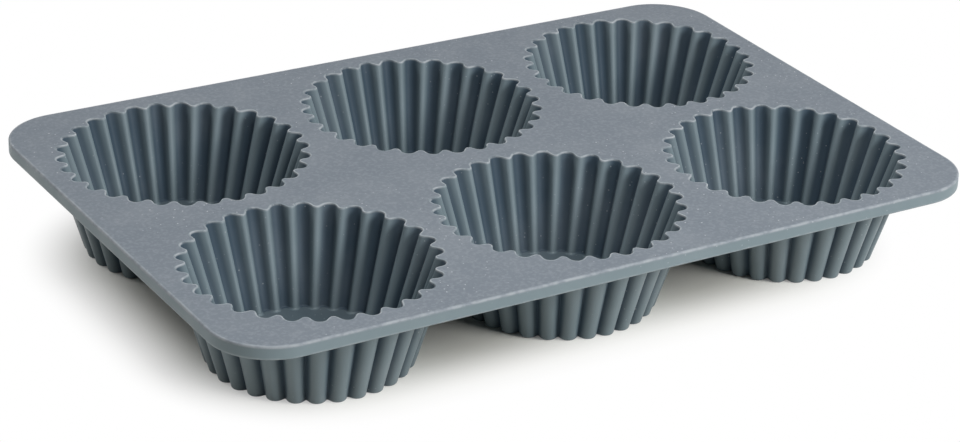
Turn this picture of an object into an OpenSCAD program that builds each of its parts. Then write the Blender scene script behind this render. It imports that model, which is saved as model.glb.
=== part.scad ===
// Six-cup fluted muffin tray, moulded in silicone.
// X runs along the long side, Y from front to back, and the cups stand on Z = 0.

/* [Deck] */
// Length of the deck
deck_l = 265; // [262:1:300]
// Width of the deck, front to back
deck_w = 178; // [176:1:210]
// Thickness of the deck
deck_t = 4.4; // [3:0.1:6]
// Radius of the deck's corners in plan
corner_r = 20; // [8:0.5:30]
// Radius along the deck's top and bottom edges
edge_r = 0.5; // [0.2:0.1:1.2]

/* [Cups] */
// Height of the whole tray
tray_h = 31.5; // [24:0.5:45]
// Distance between the centres of neighbouring cups
pitch = 86.2; // [84.5:0.1:87]
// Diameter of a mouth, across the tips of its flutes
mouth_d = 79.6; // [74:0.2:82]
// Diameter of a cup's base, across the tips of its flutes
base_d = 63.2; // [56:0.2:68]
// Thickness of a cup's wall at its mouth
wall = 1.2; // [0.9:0.1:1.3]
// Thickness of a cup's wall at its foot, across the tips of its flutes
foot_wall = 2.2; // [1.2:0.1:2.4]
// Thickness of a cup's floor
floor_t = 1; // [0.8:0.1:2.5]

/* [Flutes] */
// Depth of a flute at the mouth, from its tip to the ridges beside it
flute_depth = 3; // [2:0.1:3.4]
// Radius of a flute's round bottom, inside the cup at the mouth
groove_r = 2.3; // [1.9:0.1:2.4]
// Radius of the ridge between two flutes, inside the cup at the mouth
ridge_r = 1.4; // [1.3:0.1:1.6]

/* [Hidden] */

// Flutes round each cup: one points straight to the front and one straight to the back
flutes = 30;
flute_step = 360 / flutes;
first_flute = 90;
// Points on each flute's round bottom and on each ridge
groove_points = 4;
ridge_points = 2;

deck_underside = tray_h - deck_t;
// How far the cutters run past the deck's top
over = 1;
silicone = [0.45, 0.48, 0.51];
$fn = 64;

// Tip radii of the cavity and of the shell around it, and their sizes at any height as
// shares of their sizes at the mouth
mouth_r = mouth_d / 2;
mouth_shell_r = mouth_r + wall;
function shell_size(z) = 1 - (1 - base_d / 2 / mouth_shell_r) * (tray_h - z) / tray_h;
floor_r = mouth_shell_r * shell_size(floor_t) - foot_wall;
function cavity_size(z) = 1 - (1 - floor_r / mouth_r) * (tray_h - z) / (tray_h - floor_t);

// Points along an arc from angle a0 to angle a1
function arc(centre, r, a0, a1, n) = [
    for (i = [0 : n - 1])
        let (a = a0 + (a1 - a0) * i / (n - 1))
        centre + r * [cos(a), sin(a)]
];

// Half the angle that a flute's round bottom turns through before the straight that
// touches both it and the next ridge. rg and rr are the distances of their centres.
function half_turn(rg, groove, rr, ridge) =
    let (
        across = rr * sin(flute_step / 2),
        out = rr * cos(flute_step / 2) - rg
    )
    atan2(across, out) - acos((groove + ridge) / norm([across, out]));

// Closed outline of a fluted wall: round flutes of radius groove whose tips lie at
// radius tip_r, and round ridges between them
function fluted_outline(tip_r, groove, ridge) =
    let (
        rg = tip_r - groove,
        rr = tip_r - flute_depth + ridge,
        turn = half_turn(rg, groove, rr, ridge)
    )
    [
        for (i = [0 : flutes - 1])
            let (
                a = first_flute + i * flute_step,
                b = a + flute_step / 2
            )
            each concat(
                arc(rg * [cos(a), sin(a)], groove, a - turn, a + turn, groove_points),
                arc(rr * [cos(b), sin(b)], ridge, a + 180 + turn, b * 2 - a + 180 - turn, ridge_points)
            )
    ];

cavity_outline = fluted_outline(mouth_r, groove_r, ridge_r);
shell_outline = fluted_outline(mouth_shell_r, groove_r + wall, ridge_r - wall);

// A fluted form from z0 up to z1. size0 and size1 scale the outline, drawn at the mouth.
module fluted_taper(outline, z0, z1, size0, size1)
    translate([0, 0, z0])
        linear_extrude(height = z1 - z0, scale = size1 / size0)
            polygon(outline * size0);

// The hollow of one cup, from its floor up through the deck
module cavity()
    fluted_taper(cavity_outline, floor_t, tray_h + over, cavity_size(floor_t), cavity_size(tray_h + over));

// Places its children at the centre of a cup. Column 0 is the left one and row 0 the front one.
module at_cup(column, row)
    translate([(column - 1) * pitch, (row - 0.5) * pitch, 0])
        children();

// Section through the outer band of the deck, from the corner's centre to its rounded edge
module edge_section() {
    flat = corner_r - edge_r;
    square([flat, deck_t]);
    translate([flat, edge_r])
        square([edge_r, deck_t - 2 * edge_r]);
    for (z = [edge_r, deck_t - edge_r])
        translate([flat, z])
            circle(edge_r);
}

// One straight side of the deck, of length l, along X and facing the front
module deck_side(l)
    rotate([90, 0, 90])
        linear_extrude(l, center = true)
            mirror([1, 0])
                edge_section();

// The flat plate with round corners, before its mouths are cut
module deck_plate() {
    half_l = deck_l / 2 - corner_r;
    half_w = deck_w / 2 - corner_r;
    translate([-half_l, -half_w, 0])
        cube([2 * half_l, 2 * half_w, deck_t]);
    for (turn = [0, 180])
        rotate(turn) {
            translate([0, -half_w, 0])
                deck_side(2 * half_l);
            rotate(90)
                translate([0, -half_l, 0])
                    deck_side(2 * half_w);
            translate([half_l, half_w, 0])
                rotate_extrude(angle = 90)
                    edge_section();
            translate([-half_l, half_w, 0])
                rotate(90)
                    rotate_extrude(angle = 90)
                        edge_section();
        }
}

module deck()
    color(silicone)
        difference() {
            translate([0, 0, deck_underside])
                deck_plate();
            for (column = [0 : 2], row = [0 : 1])
                at_cup(column, row)
                    cavity();
        }

module cup(column, row)
    color(silicone)
        at_cup(column, row)
            difference() {
                fluted_taper(shell_outline, 0, deck_underside, shell_size(0), shell_size(deck_underside));
                cavity();
            }

module cup_front_left() cup(0, 0);
module cup_front_middle() cup(1, 0);
module cup_front_right() cup(2, 0);
module cup_back_left() cup(0, 1);
module cup_back_middle() cup(1, 1);
module cup_back_right() cup(2, 1);

deck();
cup_front_left();
cup_front_middle();
cup_front_right();
cup_back_left();
cup_back_middle();
cup_back_right();
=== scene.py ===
import math
from collections import namedtuple

import bmesh
import bpy
from bpy.props import FloatProperty, FloatVectorProperty, IntProperty, PointerProperty
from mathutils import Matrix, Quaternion, Vector


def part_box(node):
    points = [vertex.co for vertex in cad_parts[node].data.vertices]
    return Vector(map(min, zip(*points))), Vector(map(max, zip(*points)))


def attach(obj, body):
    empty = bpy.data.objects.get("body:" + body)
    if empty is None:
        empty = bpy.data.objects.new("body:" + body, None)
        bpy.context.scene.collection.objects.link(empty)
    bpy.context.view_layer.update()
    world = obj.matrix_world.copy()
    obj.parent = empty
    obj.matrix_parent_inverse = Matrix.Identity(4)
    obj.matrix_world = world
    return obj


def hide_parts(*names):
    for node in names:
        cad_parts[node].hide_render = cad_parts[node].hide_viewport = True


bl_info = {
    "name": "Fluted Muffin Tray",
    "version": (1, 0, 0),
    "blender": (4, 5, 0),
    "location": "3D View > Sidebar > Muffin Tray",
    "description": "Builds a six-cup fluted silicone muffin tray and its studio",
    "category": "Add Mesh",
}

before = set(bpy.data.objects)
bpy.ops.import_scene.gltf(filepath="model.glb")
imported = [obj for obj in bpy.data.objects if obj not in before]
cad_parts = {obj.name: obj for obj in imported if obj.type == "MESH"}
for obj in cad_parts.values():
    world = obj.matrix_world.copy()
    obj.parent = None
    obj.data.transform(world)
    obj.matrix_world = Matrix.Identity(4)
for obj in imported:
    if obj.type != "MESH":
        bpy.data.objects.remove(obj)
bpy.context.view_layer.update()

MM = 0.001
BODY = "root"
ROWS = ("front", "back")
COLUMNS = ("left", "middle", "right")
CUP_NODES = [f"cup_{row}_{column}" for row in ROWS for column in COLUMNS]

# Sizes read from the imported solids, in metres
DECK_LOW, DECK_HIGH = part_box("deck")
CUP_BOXES = {node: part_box(node) for node in CUP_NODES}
DECK_TOP = DECK_HIGH.z
DECK_UNDERSIDE = DECK_LOW.z

# Flutes round each cup: one points straight to the front and one straight to the back
FLUTES = 30
FLUTE_STEP = math.tau / FLUTES
FIRST_FLUTE = math.pi / 2

# One point of an outline, seen from above. shade sets the painted shade: 0 deep in a flute, where
# the colour is darkest, 1 on an open face and between them on a cup's walls.
OutlinePoint = namedtuple("OutlinePoint", "place normal shade")

# One closed ring round a piece. Its edge paleness is 1 where an edge is pale, partly from rubbed
# wear and partly as a painted highlight.
Ring = namedtuple("Ring", "points shades wear")

# Shade of the deck's top
OPEN_SHADE = 1
# Shade of the ridges inside a cup, and of plain faces at the side and below
CREST_SHADE = 0.7
# Painted shade of the flutes' tips outside a cup, a little darker than the walls
OUTER_SHADE = 0.6
# Painted shade of a cup's floor, darker than the walls
FLOOR_SHADE = 0.36


class DeckSettings(bpy.types.PropertyGroup):
    """Sizes of the flat deck"""

    corner_radius: FloatProperty(
        name="Corner Radius",
        description="Radius of the deck's corners, seen from above",
        default=20 * MM,
        unit="LENGTH",
    )
    edge_radius: FloatProperty(
        name="Edge Radius",
        description="Rounding along the deck's top and bottom edges",
        default=0.5 * MM,
        unit="LENGTH",
    )
    mouth_edge_radius: FloatProperty(
        name="Mouth Edge Radius",
        description="Rounding where each fluted mouth meets the deck's top",
        default=0.25 * MM,
        unit="LENGTH",
    )


class CupSettings(bpy.types.PropertyGroup):
    """Sizes shared by the six fluted cups"""

    mouth_radius: FloatProperty(
        name="Mouth Radius",
        description="Radius of a mouth, to the tips of its flutes",
        default=39.8 * MM,
        unit="LENGTH",
    )
    base_radius: FloatProperty(
        name="Base Radius",
        description="Radius of a cup's base, to the tips of its flutes",
        default=31.6 * MM,
        unit="LENGTH",
    )
    wall: FloatProperty(
        name="Wall",
        description="Thickness of a cup's wall at its mouth",
        default=1.2 * MM,
        unit="LENGTH",
    )
    foot_wall: FloatProperty(
        name="Foot Wall",
        description="Thickness of a cup's wall at its foot",
        default=2.2 * MM,
        unit="LENGTH",
    )
    floor_thickness: FloatProperty(
        name="Floor",
        description="Thickness of a cup's floor",
        default=1 * MM,
        unit="LENGTH",
    )
    flute_depth: FloatProperty(
        name="Flute Depth",
        description="Depth of a flute at the mouth",
        default=3 * MM,
        unit="LENGTH",
    )
    groove_radius: FloatProperty(
        name="Groove Radius",
        description="Radius of a flute's round bottom, at the mouth",
        default=2.3 * MM,
        unit="LENGTH",
    )
    ridge_radius: FloatProperty(
        name="Ridge Radius",
        description="Radius of the ridge between two flutes, at the mouth",
        default=1.4 * MM,
        unit="LENGTH",
    )
    floor_fillet: FloatProperty(
        name="Floor Fillet",
        description="Rounding between a cup's floor and its wall, inside",
        default=0.7 * MM,
        unit="LENGTH",
    )
    foot_round: FloatProperty(
        name="Foot Rounding",
        description="Rounding along the foot of a cup, outside",
        default=1 * MM,
        unit="LENGTH",
    )
    groove_points: IntProperty(
        name="Groove Points",
        description="Points along each flute's round bottom",
        default=9,
        min=3,
    )
    ridge_points: IntProperty(
        name="Ridge Points",
        description="Points along each ridge",
        default=7,
        min=3,
    )


class SiliconeSettings(bpy.types.PropertyGroup):
    """Finish of the moulded silicone"""

    face_colour: FloatVectorProperty(
        name="Face Colour",
        description="Colour of the deck's top",
        subtype="COLOR",
        size=3,
        min=0,
        max=1,
        default=(0.138, 0.163, 0.193),
    )
    wall_colour: FloatVectorProperty(
        name="Wall Colour",
        description="Colour of the cups' walls and of the deck's sides",
        subtype="COLOR",
        size=3,
        min=0,
        max=1,
        default=(0.15, 0.197, 0.22),
    )
    # Painted shade: the darkest colour, deep in the flutes, in the creases outside and on the cups'
    # floors
    painted_shade_colour: FloatVectorProperty(
        name="Deep Colour",
        description="Colour deep in the flutes",
        subtype="COLOR",
        size=3,
        min=0,
        max=1,
        default=(0.042, 0.066, 0.09),
    )
    # The bloom colour also paints the highlight along the edges
    bloom_and_highlight: FloatVectorProperty(
        name="Bloom",
        description="Colour of the pale bloom in faint patches and along the edges",
        subtype="COLOR",
        size=3,
        min=0,
        max=1,
        default=(0.36, 0.39, 0.415),
    )
    dust: FloatVectorProperty(
        name="Dust",
        description="Colour of the fine dust that silicone picks up",
        subtype="COLOR",
        size=3,
        min=0,
        max=1,
        default=(0.5, 0.52, 0.54),
    )
    face_roughness: FloatProperty(
        name="Face Roughness",
        description="Roughness of the deck's top",
        subtype="FACTOR",
        min=0,
        max=1,
        default=0.56,
    )
    wall_roughness: FloatProperty(
        name="Wall Roughness",
        description="Roughness of the cups' walls",
        subtype="FACTOR",
        min=0,
        max=1,
        default=0.44,
    )
    grain: FloatProperty(
        name="Grain",
        description="Strength of the fine grain of the mould",
        subtype="FACTOR",
        min=0,
        max=1,
        default=0.12,
    )


class StageSettings(bpy.types.PropertyGroup):
    """Camera, lamps and floor"""

    eye: FloatVectorProperty(
        name="Eye",
        description="Where the camera stands",
        subtype="XYZ",
        unit="LENGTH",
        size=3,
        default=(-0.46092, -0.75115, 0.42662),
    )
    aim: FloatVectorProperty(
        name="Aim",
        description="Point on the deck's plane that the camera's axis meets",
        subtype="XYZ",
        unit="LENGTH",
        size=3,
        default=(0.02126, -0.06762, 0.0315),
    )
    roll: FloatProperty(
        name="Roll",
        description="Turn of the camera about its own axis",
        unit="ROTATION",
        default=math.radians(3.667),
    )
    lens: FloatProperty(
        name="Lens",
        description="Focal length, in millimetres",
        default=112.8,
    )
    shift: FloatProperty(
        name="Shift",
        description="Sideways shift of the lens, as a share of the picture's width",
        default=-0.1875,
    )
    world_light: FloatProperty(
        name="World Light",
        description="Strength of the even light from all round",
        min=0,
        default=0.04,
    )
    lamp_light: FloatProperty(
        name="Lamp Light",
        description="Light of all lamps, as a share of what each is set to throw",
        min=0,
        default=1,
    )


def ring_position(angle, radius):
    """Place on a circle round the origin, seen from above."""
    return Vector((math.cos(angle), math.sin(angle))) * radius


def arc_points(centre, radius, start, end, count, side=1):
    """Points along an arc with their normals, which point to its centre where side is -1."""
    points = []
    for i in range(count):
        turn = start + (end - start) * i / (count - 1)
        normal = Vector((math.cos(turn), math.sin(turn)))
        points.append((centre + normal * radius, normal * side))
    return points


def half_turn(groove_centre, groove, ridge_centre, ridge):
    """Half the angle of a groove's arc, up to the straight that touches it and the next ridge."""
    across = ridge_centre * math.sin(FLUTE_STEP / 2)
    out = ridge_centre * math.cos(FLUTE_STEP / 2) - groove_centre
    return math.atan2(across, out) - math.acos((groove + ridge) / math.hypot(across, out))


def fluted_outline(cups, tip_radius, groove, ridge, inside):
    """Closed outline of a fluted wall: round flutes with their tips at tip_radius, and round ridges.
    inside says whether the wall is seen from inside the cup, where the flutes are the deep parts."""
    groove_centre = tip_radius - groove
    ridge_centre = tip_radius - cups.flute_depth + ridge
    turn = half_turn(groove_centre, groove, ridge_centre, ridge)
    arcs = []
    for i in range(FLUTES):
        a = FIRST_FLUTE + i * FLUTE_STEP
        b = a + FLUTE_STEP / 2
        ridge_start = a + math.pi + turn
        ridge_end = 2 * b - a + math.pi - turn
        flute_middle = ring_position(a, groove_centre)
        ridge_middle = ring_position(b, ridge_centre)
        arcs += arc_points(flute_middle, groove, a - turn, a + turn, cups.groove_points)
        arcs += arc_points(ridge_middle, ridge, ridge_start, ridge_end, cups.ridge_points, side=-1)
    outline = []
    for place, normal in arcs:
        # Painted shade: darkest deep in a flute inside the cup and in the creases between flutes outside
        depth = (tip_radius - place.length) / cups.flute_depth
        shade = CREST_SHADE * depth if inside else OUTER_SHADE * (1 - depth)
        outline.append(OutlinePoint(place, normal, shade))
    return outline


def shell_radius(cups):
    """Radius of a cup's outside to the tips of its flutes, at the height of the mouth."""
    return cups.mouth_radius + cups.wall


def cavity_outline(cups):
    """Outline of a cup's inside at the mouth."""
    return fluted_outline(cups, cups.mouth_radius, cups.groove_radius, cups.ridge_radius, inside=True)


def shell_outline(cups):
    """Outline of a cup's outside at the height of the mouth, one wall away from its inside."""
    groove = cups.groove_radius + cups.wall
    ridge = cups.ridge_radius - cups.wall
    return fluted_outline(cups, shell_radius(cups), groove, ridge, inside=False)


def shell_size(cups, z):
    """Size of the shell at height z, as a share of its size at the mouth."""
    return 1 - (1 - cups.base_radius / shell_radius(cups)) * (DECK_TOP - z) / DECK_TOP


def cavity_size(cups, z):
    """Size of the cavity at height z, as a share of its size at the mouth."""
    floor = cups.floor_thickness
    floor_radius = shell_radius(cups) * shell_size(cups, floor) - cups.foot_wall
    return 1 - (1 - floor_radius / cups.mouth_radius) * (DECK_TOP - z) / (DECK_TOP - floor)


def slope_of(size_function, cups, radius):
    """Lean of a wall from the vertical."""
    rise = DECK_TOP - DECK_UNDERSIDE
    run = radius * (size_function(cups, DECK_TOP) - size_function(cups, DECK_UNDERSIDE))
    return math.atan2(run, rise)


def rounding(radius, slope, steps):
    """Round between a leaning wall and a flat foot, from the wall to the foot, as pairs of the rise
    above the foot and the shift from the wall."""
    centre = -radius * (1 - math.sin(slope)) / math.cos(slope)
    pairs = []
    for i in range(steps + 1):
        angle = -slope + (slope - math.pi / 2) * i / steps
        rise = radius + radius * math.sin(angle)
        across = centre + radius * math.cos(angle)
        pairs.append((rise, across - rise * math.tan(slope)))
    return pairs


def outline_ring(outline, centre, size, shift, z, wear=0, shade=None):
    """The outline scaled to size and moved outward by shift, at height z. A shade that is given
    holds all round, in place of the outline's own."""
    points = []
    for point in outline:
        flat = point.place * size + point.normal * shift
        points.append((centre.x + flat.x, centre.y + flat.y, z))
    shades = [point.shade if shade is None else shade for point in outline]
    return Ring(points, shades, wear)


def new_mesh():
    """An empty bmesh whose points carry a painted shade and an edge paleness of wear and painted
    highlight.
    """
    bm = bmesh.new()
    bm.verts.layers.float.new("shade")
    bm.verts.layers.float.new("wear")
    return bm


def add_ring(bm, ring):
    """Adds a ring's points to the mesh and returns them as a loop."""
    shade_layer = bm.verts.layers.float["shade"]
    edge_wear_and_highlight_layer = bm.verts.layers.float["wear"]
    loop = []
    for place, shade in zip(ring.points, ring.shades):
        vert = bm.verts.new(place)
        vert[shade_layer] = shade
        vert[edge_wear_and_highlight_layer] = ring.wear
        loop.append(vert)
    return loop


def bridge(bm, lower, upper):
    """Quads between two loops of the same count."""
    count = len(lower)
    for i in range(count):
        j = (i + 1) % count
        bm.faces.new((lower[i], lower[j], upper[j], upper[i]))


def loft(bm, rings):
    """Joins the rings in order and returns the first and the last loop."""
    loops = [add_ring(bm, ring) for ring in rings]
    for lower, upper in zip(loops, loops[1:]):
        bridge(bm, lower, upper)
    return loops[0], loops[-1]


def close_disc(bm, loop, centre, shade):
    """Closes a round loop with triangles to its centre."""
    hub = bm.verts.new(centre)
    hub[bm.verts.layers.float["shade"]] = shade
    count = len(loop)
    for i in range(count):
        bm.faces.new((loop[i], loop[(i + 1) % count], hub))


def fill_between(bm, loops):
    """Fills the flat region between closed loops of vertices."""
    edges = []
    for loop in loops:
        count = len(loop)
        for i in range(count):
            edge = bm.edges.get((loop[i], loop[(i + 1) % count]))
            if edge is None:
                raise RuntimeError("a loop of the deck's flat face is open")
            edges.append(edge)
    filled = bmesh.ops.triangle_fill(bm, use_beauty=True, use_dissolve=False, edges=edges)
    if not any(isinstance(item, bmesh.types.BMFace) for item in filled["geom"]):
        raise RuntimeError("the deck's flat face could not be filled")


# Faces that meet at a wider angle than this show a crease
SHARP_ANGLE = math.radians(50)


def finish_piece(bm, name, material, node):
    """Turns a bmesh into the object that stands for a CAD node."""
    bmesh.ops.recalc_face_normals(bm, faces=bm.faces)
    open_edges = [edge for edge in bm.edges if not edge.is_manifold]
    if open_edges:
        raise RuntimeError(f"{name} has {len(open_edges)} open edges")
    mesh = bpy.data.meshes.new(name)
    bm.to_mesh(mesh)
    bm.free()
    mesh.shade_smooth()
    mesh.set_sharp_from_angle(angle=SHARP_ANGLE)
    piece = bpy.data.objects.new(name, mesh)
    bpy.context.scene.collection.objects.link(piece)
    mesh.materials.append(material)
    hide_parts(node)
    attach(piece, BODY)


def cup_centre(node):
    """Middle of a cup's box, of which only X and Y are used."""
    low, high = CUP_BOXES[node]
    return (low + high) / 2


def rounded_rectangle(radius, points_per_corner):
    """The deck's outline, seen from above."""
    half_x = (DECK_HIGH.x - DECK_LOW.x) / 2 - radius
    half_y = (DECK_HIGH.y - DECK_LOW.y) / 2 - radius
    outline = []
    for quarter, (side_x, side_y) in enumerate(((1, 1), (-1, 1), (-1, -1), (1, -1))):
        start = quarter * math.pi / 2
        corner = Vector((side_x * half_x, side_y * half_y))
        for place, normal in arc_points(corner, radius, start, start + math.pi / 2, points_per_corner):
            outline.append(OutlinePoint(place, normal, OPEN_SHADE))
    return outline


# Width of the bands beside a rounding, which keep the shading of the flat faces flat
BAND = 0.4 * MM
ROUND_STEPS = 4
CORNER_POINTS = 25
# How pale the mouths' edges and the deck's upper and lower outer edges are, partly from rubbing
# and partly as a painted highlight where they catch light
MOUTH_EDGE_WEAR_AND_HIGHLIGHT = 1
TOP_EDGE_WEAR_AND_HIGHLIGHT = 0.6
LOW_EDGE_WEAR_AND_HIGHLIGHT = 0.35


def deck_edge_rings(deck):
    """Rings of the deck's outer edge, from its underside to its top."""
    outline = rounded_rectangle(deck.corner_radius, CORNER_POINTS)
    middle = Vector((0, 0))
    profile = rounding(deck.edge_radius, 0, ROUND_STEPS)
    inner = profile[-1][1] - BAND
    side = deck.edge_radius + BAND
    rings = [outline_ring(outline, middle, 1, inner, DECK_UNDERSIDE, shade=CREST_SHADE)]
    for rise, shift in reversed(profile):
        z = DECK_UNDERSIDE + rise
        rings.append(outline_ring(outline, middle, 1, shift, z, LOW_EDGE_WEAR_AND_HIGHLIGHT, CREST_SHADE))
    for z in (DECK_UNDERSIDE + side, DECK_TOP - side):
        rings.append(outline_ring(outline, middle, 1, 0, z, shade=CREST_SHADE))
    for rise, shift in profile:
        rings.append(outline_ring(outline, middle, 1, shift, DECK_TOP - rise, TOP_EDGE_WEAR_AND_HIGHLIGHT))
    rings.append(outline_ring(outline, middle, 1, inner, DECK_TOP))
    return rings


def mouth_rings(deck, cups, centre):
    """Rings of one mouth, from the deck's underside to its top."""
    outline = cavity_outline(cups)
    slope = slope_of(cavity_size, cups, cups.mouth_radius)
    low = DECK_TOP - deck.mouth_edge_radius - BAND
    profile = rounding(deck.mouth_edge_radius, slope, ROUND_STEPS)
    inner = BAND - profile[-1][1]
    rings = [outline_ring(outline, centre, cavity_size(cups, z), 0, z) for z in (DECK_UNDERSIDE, low)]
    for rise, shift in profile:
        z = DECK_TOP - rise
        rings.append(outline_ring(outline, centre, cavity_size(cups, z), -shift, z, MOUTH_EDGE_WEAR_AND_HIGHLIGHT))
    rings.append(outline_ring(outline, centre, 1, inner, DECK_TOP, shade=OPEN_SHADE))
    return rings


def cup_rings(cups, centre):
    """Rings of a cup from its base, up outside, over its rim and down inside to its floor."""
    shell = shell_outline(cups)
    cavity = cavity_outline(cups)
    floor = cups.floor_thickness
    shell_slope = slope_of(shell_size, cups, shell_radius(cups))
    cavity_slope = slope_of(cavity_size, cups, cups.mouth_radius)
    foot = rounding(cups.foot_round, shell_slope, ROUND_STEPS)
    fillet = rounding(cups.floor_fillet, cavity_slope, ROUND_STEPS)
    inner = foot[-1][1] - BAND
    rings = [outline_ring(shell, centre, shell_size(cups, 0), inner, 0, shade=CREST_SHADE)]
    for rise, shift in reversed(foot):
        rings.append(outline_ring(shell, centre, shell_size(cups, rise), shift, rise))
    rings.append(outline_ring(shell, centre, shell_size(cups, DECK_UNDERSIDE), 0, DECK_UNDERSIDE))
    rings.append(outline_ring(cavity, centre, cavity_size(cups, DECK_UNDERSIDE), 0, DECK_UNDERSIDE))
    for rise, shift in fillet:
        z = floor + rise
        rings.append(outline_ring(cavity, centre, cavity_size(cups, z), shift, z))
    inner = fillet[-1][1] - BAND
    rings.append(outline_ring(cavity, centre, cavity_size(cups, floor), inner, floor, shade=FLOOR_SHADE))
    return rings


def get_settings(context):
    """The tray's settings, which the panel shows."""
    return context.scene.muffin_tray


# A noise pattern of the silicone. scale is in waves per metre, and the pattern goes from least to
# most while the noise goes from low to high.
Pattern = namedtuple("Pattern", "scale detail low high least most")

# Faint large clouds, and finer mottling on the deck's top
CLOUDS = Pattern(34, 4, 0.4, 0.8, 0, 0.12)
MOTTLE = Pattern(900, 4, 0.42, 0.72, 0, 0.2)
# Patches in which the edges are pale, partly from rubbing and partly as a painted highlight
RUBBED_AND_LIT = Pattern(260, 4, 0.35, 0.62, 0.25, 0.9)
# Places where dust has settled
DUSTY = Pattern(26, 2, 0.4, 0.62, 0, 1)
# Change in roughness from place to place
UNEVEN = Pattern(90, 3, 0.3, 0.7, -0.04, 0.04)

# Specks of dust along a metre, and the radii, as shares of their spacing, within which a speck
# is full and past which it is gone
SPECKS = 420
SPECK_CORE = 0.07
SPECK_EDGE = 0.12
# How much of the dust on the deck's top lies on the cups' walls too
WALL_DUST = 0.3

# Specular level deep in the flutes, kept low as painted shade on the reflection, and on
# crests and open faces
DEEP_SHEEN = 0.12
OPEN_SHEEN = 0.36

# Grain of the mould and soft waves in the faces: waves per metre, detail and depth
GRAIN_SCALE = 2400
GRAIN_DETAIL = 2
GRAIN_DEPTH = 0.1 * MM
WAVE_SCALE = 70
WAVE_DETAIL = 1
WAVE_DEPTH = 0.3 * MM
WAVE_STRENGTH = 0.2

# Places of a Mix node's colour sockets, whose names its sockets for other data share
MIX_A = 6
MIX_B = 7
MIX_RESULT = 2


class Nodes:
    """Adds shader nodes to a tree and links them."""

    def __init__(self, tree):
        self.tree = tree

    def add(self, kind, **settings):
        node = self.tree.nodes.new(kind)
        for key, value in settings.items():
            setattr(node, key, value)
        return node

    def feed(self, value, socket):
        """Links an output to a socket, or writes a plain number or colour on it."""
        if isinstance(value, bpy.types.NodeSocket):
            self.tree.links.new(value, socket)
        else:
            socket.default_value = value

    def noise(self, vector, scale, detail):
        node = self.add("ShaderNodeTexNoise")
        node.inputs["Scale"].default_value = scale
        node.inputs["Detail"].default_value = detail
        self.feed(vector, node.inputs["Vector"])
        return node.outputs["Fac"]

    def pattern(self, vector, pattern):
        """One of the noise patterns above."""
        noise = self.noise(vector, pattern.scale, pattern.detail)
        return self.spread(noise, pattern.low, pattern.high, pattern.least, pattern.most)

    def cells(self, vector, scale):
        """Distance to the nearest of a scatter of points, as a share of their mean spacing."""
        node = self.add("ShaderNodeTexVoronoi")
        node.inputs["Scale"].default_value = scale
        self.feed(vector, node.inputs["Vector"])
        return node.outputs["Distance"]

    def spread(self, value, low, high, to_low=0, to_high=1):
        """Smooth step from to_low to to_high while the value goes from low to high."""
        node = self.add("ShaderNodeMapRange", interpolation_type="SMOOTHSTEP")
        node.inputs["From Min"].default_value = low
        node.inputs["From Max"].default_value = high
        node.inputs["To Min"].default_value = to_low
        node.inputs["To Max"].default_value = to_high
        self.feed(value, node.inputs["Value"])
        return node.outputs["Result"]

    def maths(self, operation, a, b):
        node = self.add("ShaderNodeMath", operation=operation)
        self.feed(a, node.inputs[0])
        self.feed(b, node.inputs[1])
        return node.outputs["Value"]

    def vector(self, operation, a, b=None):
        node = self.add("ShaderNodeVectorMath", operation=operation)
        self.feed(a, node.inputs[0])
        if b is not None:
            self.feed(b, node.inputs[1])
        return node.outputs["Value" if operation == "LENGTH" else "Vector"]

    def mix(self, factor, a, b):
        node = self.add("ShaderNodeMix", data_type="RGBA")
        self.feed(factor, node.inputs["Factor"])
        self.feed(a, node.inputs[MIX_A])
        self.feed(b, node.inputs[MIX_B])
        return node.outputs[MIX_RESULT]

    def mix_shaders(self, factor, a, b):
        node = self.add("ShaderNodeMixShader")
        self.feed(factor, node.inputs["Fac"])
        self.feed(a, node.inputs[1])
        self.feed(b, node.inputs[2])
        return node.outputs["Shader"]

    def bump(self, height, strength, depth, normal=None):
        node = self.add("ShaderNodeBump")
        node.inputs["Strength"].default_value = strength
        node.inputs["Distance"].default_value = depth
        self.feed(height, node.inputs["Height"])
        if normal is not None:
            self.feed(normal, node.inputs["Normal"])
        return node.outputs["Normal"]

    def sees_surround(self):
        """1 for rays from the camera, in reflections and through glass, and 0 for all others, which
        bring the light that falls on things."""
        rays = self.add("ShaderNodeLightPath").outputs
        seen = self.maths("MAXIMUM", rays["Is Camera Ray"], rays["Is Glossy Ray"])
        return self.maths("MAXIMUM", seen, rays["Is Transmission Ray"])

    def value_on_mesh(self, name):
        """A value that the mesh carries at its points."""
        return self.add("ShaderNodeAttribute", attribute_name=name).outputs["Fac"]


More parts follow.
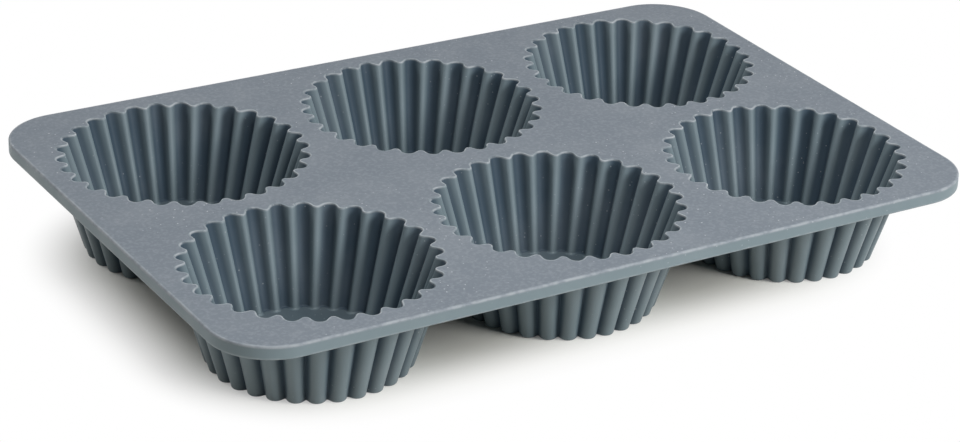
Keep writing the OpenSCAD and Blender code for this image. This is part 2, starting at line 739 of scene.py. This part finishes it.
def silicone_material(finish):
    """Satin silicone: painted shade deep in the flutes, in the creases and on the floors, cloudy,
    pale on edges from wear and a painted highlight, with grain and dust.
    """
    material = bpy.data.materials.get("tray_silicone")
    if material is not None:
        return material
    material = bpy.data.materials.new("tray_silicone")
    material.use_nodes = True
    n = Nodes(material.node_tree)
    shader = material.node_tree.nodes["Principled BSDF"]
    place = n.add("ShaderNodeTexCoord").outputs["Object"]
    shade = n.value_on_mesh("shade")
    bloom_and_highlight = (*finish.bloom_and_highlight, 1)

    # Painted shade: from the darkest colour deep in the flutes, creases and floors up to the walls'
    # colour
    walls = n.spread(shade, 0, CREST_SHADE)
    colour = n.mix(walls, (*finish.painted_shade_colour, 1), (*finish.wall_colour, 1))
    face = n.spread(shade, CREST_SHADE, OPEN_SHADE)
    colour = n.mix(face, colour, (*finish.face_colour, 1))
    colour = n.mix(n.pattern(place, CLOUDS), colour, bloom_and_highlight)
    mottle = n.maths("MULTIPLY", n.pattern(place, MOTTLE), face)
    colour = n.mix(mottle, colour, bloom_and_highlight)
    # Pale edges, partly rubbed wear and partly a painted highlight where the edges catch light
    worn_and_lit = n.maths("MULTIPLY", n.value_on_mesh("wear"), n.pattern(place, RUBBED_AND_LIT))
    colour = n.mix(worn_and_lit, colour, bloom_and_highlight)
    specks = n.spread(n.cells(place, SPECKS), SPECK_CORE, SPECK_EDGE, 1, 0)
    settled = n.maths("MULTIPLY", n.pattern(place, DUSTY), n.spread(face, 0, 1, WALL_DUST, 1))
    colour = n.mix(n.maths("MULTIPLY", specks, settled), colour, (*finish.dust, 1))
    n.feed(colour, shader.inputs["Base Color"])

    smooth = n.spread(face, 0, 1, finish.wall_roughness, finish.face_roughness)
    n.feed(n.maths("ADD", smooth, n.pattern(place, UNEVEN)), shader.inputs["Roughness"])
    # Weaker reflection deep in the flutes: painted shade on the sheen
    sheen = n.spread(shade, 0, CREST_SHADE, DEEP_SHEEN, OPEN_SHEEN)
    n.feed(sheen, shader.inputs["Specular IOR Level"])
    grain = n.bump(n.noise(place, GRAIN_SCALE, GRAIN_DETAIL), finish.grain, GRAIN_DEPTH)
    waves = n.bump(n.noise(place, WAVE_SCALE, WAVE_DETAIL), WAVE_STRENGTH, WAVE_DEPTH, grain)
    n.feed(waves, shader.inputs["Normal"])
    return material


class MUFFINTRAY_OT_deck(bpy.types.Operator):
    """Builds the flat deck with its six fluted mouths"""

    bl_idname = "muffintray.deck"
    bl_label = "Deck"
    bl_options = {"REGISTER", "UNDO"}

    def execute(self, context):
        tray = get_settings(context)
        bm = new_mesh()
        lower_loops = []
        upper_loops = []
        all_rings = [deck_edge_rings(tray.deck)]
        for node in CUP_NODES:
            all_rings.append(mouth_rings(tray.deck, tray.cups, cup_centre(node)))
        for rings in all_rings:
            lower, upper = loft(bm, rings)
            lower_loops.append(lower)
            upper_loops.append(upper)
        fill_between(bm, lower_loops)
        fill_between(bm, upper_loops)
        finish_piece(bm, "silicone_deck", silicone_material(tray.silicone), "deck")
        return {"FINISHED"}


class MUFFINTRAY_OT_cups(bpy.types.Operator):
    """Builds the six fluted, tapering cups that hang from the deck"""

    bl_idname = "muffintray.cups"
    bl_label = "Cups"
    bl_options = {"REGISTER", "UNDO"}

    def execute(self, context):
        tray = get_settings(context)
        material = silicone_material(tray.silicone)
        for node in CUP_NODES:
            centre = cup_centre(node)
            bm = new_mesh()
            base, floor = loft(bm, cup_rings(tray.cups, centre))
            close_disc(bm, base, (centre.x, centre.y, 0), CREST_SHADE)
            close_disc(bm, floor, (centre.x, centre.y, tray.cups.floor_thickness), FLOOR_SHADE)
            finish_piece(bm, f"silicone_{node}", material, node)
        return {"FINISHED"}


class MUFFINTRAY_OT_stage(bpy.types.Operator):
    """Sets up the camera, the lamps, the white surround and the pale floor"""

    bl_idname = "muffintray.stage"
    bl_label = "Stage"
    bl_options = {"REGISTER", "UNDO"}

    def execute(self, context):
        stage = get_settings(context).stage
        scene = context.scene
        scene.view_settings.view_transform = "Standard"
        add_camera(scene, stage)
        set_world(scene, stage)
        add_lamps(scene, stage)
        add_floor(scene)
        return {"FINISHED"}


# Width of the camera's sensor, in millimetres
SENSOR_WIDTH = 36


def add_camera(scene, stage):
    """Camera that frames the tray as the photograph does."""
    camera = bpy.data.objects.new("camera", bpy.data.cameras.new("camera"))
    scene.collection.objects.link(camera)
    eye = Vector(stage.eye)
    view = (Vector(stage.aim) - eye).normalized()
    level = view.to_track_quat("-Z", "Y")
    camera.location = eye
    camera.rotation_mode = "QUATERNION"
    camera.rotation_quaternion = Quaternion(-view, stage.roll) @ level
    camera.data.sensor_width = SENSOR_WIDTH
    camera.data.lens = stage.lens
    camera.data.shift_x = stage.shift
    scene.camera = camera


def set_world(scene, stage):
    """White where it is seen, and a faint even light on everything else."""
    world = bpy.data.worlds.new("studio")
    scene.world = world
    world.use_nodes = True
    world.node_tree.nodes.clear()
    n = Nodes(world.node_tree)
    seen = n.add("ShaderNodeBackground")
    lit = n.add("ShaderNodeBackground")
    lit.inputs["Strength"].default_value = stage.world_light
    for background in (seen, lit):
        background.inputs["Color"].default_value = (1, 1, 1, 1)
    mix = n.mix_shaders(n.sees_surround(), lit.outputs["Background"], seen.outputs["Background"])
    n.feed(mix, n.add("ShaderNodeOutputWorld").inputs["Surface"])


# Square lamps that face the tray. turn is counted from +X and height from the floor, both in
# degrees, and distance and size are in metres. light is what a lamp throws on a surface that
# faces it at the tray's middle, where 1 shows a colour as it is written.
Lamp = namedtuple("Lamp", "name turn height distance size light")
LAMPS = (
    Lamp("front_right", 302, 30, 1.3, 0.5, 0.8),
    Lamp("front_high", 262, 56, 0.6, 0.24, 0.44),
    Lamp("right_back", 15, 32, 1.4, 0.5, 0.11),
    Lamp("back_high", 75, 62, 1.4, 0.5, 0.05),
    Lamp("left_back", 128, 36, 1.1, 0.4, 0.3),
    Lamp("left", 178, 40, 1.4, 0.5, 0.03),
)


def add_lamps(scene, stage):
    """The lamps of the list, each turned to the floor below the tray's middle."""
    for lamp in LAMPS:
        light = bpy.data.lights.new(lamp.name, "AREA")
        light.size = lamp.size
        # Watts that show the colour of a surface that faces the lamp as it is written
        full = math.pi**2 * lamp.distance**2
        light.energy = stage.lamp_light * lamp.light * full
        holder = bpy.data.objects.new(lamp.name, light)
        scene.collection.objects.link(holder)
        turn = math.radians(lamp.turn)
        height = math.radians(lamp.height)
        level = math.cos(height)
        away = Vector((level * math.cos(turn), level * math.sin(turn), math.sin(height)))
        holder.location = away * lamp.distance
        holder.rotation_euler = (-away).to_track_quat("-Z", "Y").to_euler()


# The floor turns white away from a core, a rectangle that lies this far inside the deck's outline
# and is moved a little to the left and back
CORE_INSET = 60 * MM
CORE_MOVE = (-6 * MM, 2 * MM, 0)
# Distances from the core between which the floor goes from its own colour to white
FADE_FROM = 32 * MM
FADE_TO = 65 * MM
# Colour of the floor where its shadow shows
PAPER = (0.8, 0.79, 0.73, 1)
# How far the floor reaches from its middle, in metres
FLOOR_REACH = 6


def floor_material():
    """Pale floor that shows the tray's shadow below it and is seen as plain white round it."""
    material = bpy.data.materials.new("floor")
    material.use_nodes = True
    material.node_tree.nodes.clear()
    n = Nodes(material.node_tree)
    place = n.vector("SUBTRACT", n.add("ShaderNodeTexCoord").outputs["Object"], CORE_MOVE)
    core = (DECK_HIGH.x - CORE_INSET, DECK_HIGH.y - CORE_INSET, 0)
    past = n.vector("MAXIMUM", n.vector("SUBTRACT", n.vector("ABSOLUTE", place), core), (0, 0, 0))
    away = n.spread(n.vector("LENGTH", past), FADE_FROM, FADE_TO)
    paper = n.add("ShaderNodeBsdfDiffuse")
    n.feed(PAPER, paper.inputs["Color"])
    white = n.add("ShaderNodeEmission")
    whiteness = n.maths("MULTIPLY", away, n.sees_surround())
    mix = n.mix_shaders(whiteness, paper.outputs["BSDF"], white.outputs["Emission"])
    n.feed(mix, n.add("ShaderNodeOutputMaterial").inputs["Surface"])
    return material


def add_floor(scene):
    """Large square on which the cups stand."""
    mesh = bpy.data.meshes.new("floor")
    corners = [(x * FLOOR_REACH, y * FLOOR_REACH, 0) for x, y in ((-1, -1), (1, -1), (1, 1), (-1, 1))]
    mesh.from_pydata(corners, [], [(0, 1, 2, 3)])
    mesh.materials.append(floor_material())
    floor = bpy.data.objects.new("floor", mesh)
    scene.collection.objects.link(floor)


class TraySettings(bpy.types.PropertyGroup):
    """All settings of the muffin tray"""

    deck: PointerProperty(type=DeckSettings)
    cups: PointerProperty(type=CupSettings)
    silicone: PointerProperty(type=SiliconeSettings)
    stage: PointerProperty(type=StageSettings)


STEPS = (MUFFINTRAY_OT_stage, MUFFINTRAY_OT_deck, MUFFINTRAY_OT_cups)


class MUFFINTRAY_PT_panel(bpy.types.Panel):
    """Lists the steps and their settings"""

    bl_idname = "MUFFINTRAY_PT_panel"
    bl_label = "Muffin Tray"
    bl_space_type = "VIEW_3D"
    bl_region_type = "UI"
    bl_category = "Muffin Tray"

    def draw(self, context):
        tray = get_settings(context)
        for step in STEPS:
            self.layout.operator(step.bl_idname)
        for group in (tray.deck, tray.cups, tray.silicone, tray.stage):
            box = self.layout.box()
            for name in group.__annotations__:
                box.prop(group, name)


CLASSES = (
    DeckSettings,
    CupSettings,
    SiliconeSettings,
    StageSettings,
    TraySettings,
    *STEPS,
    MUFFINTRAY_PT_panel,
)


def register():
    for cls in CLASSES:
        bpy.utils.register_class(cls)
    bpy.types.Scene.muffin_tray = PointerProperty(type=TraySettings)


def unregister():
    del bpy.types.Scene.muffin_tray
    for cls in reversed(CLASSES):
        bpy.utils.unregister_class(cls)


def main():
    register()
    bpy.ops.muffintray.stage()
    bpy.ops.muffintray.deck()
    bpy.ops.muffintray.cups()


if __name__ == "__main__":
    main()
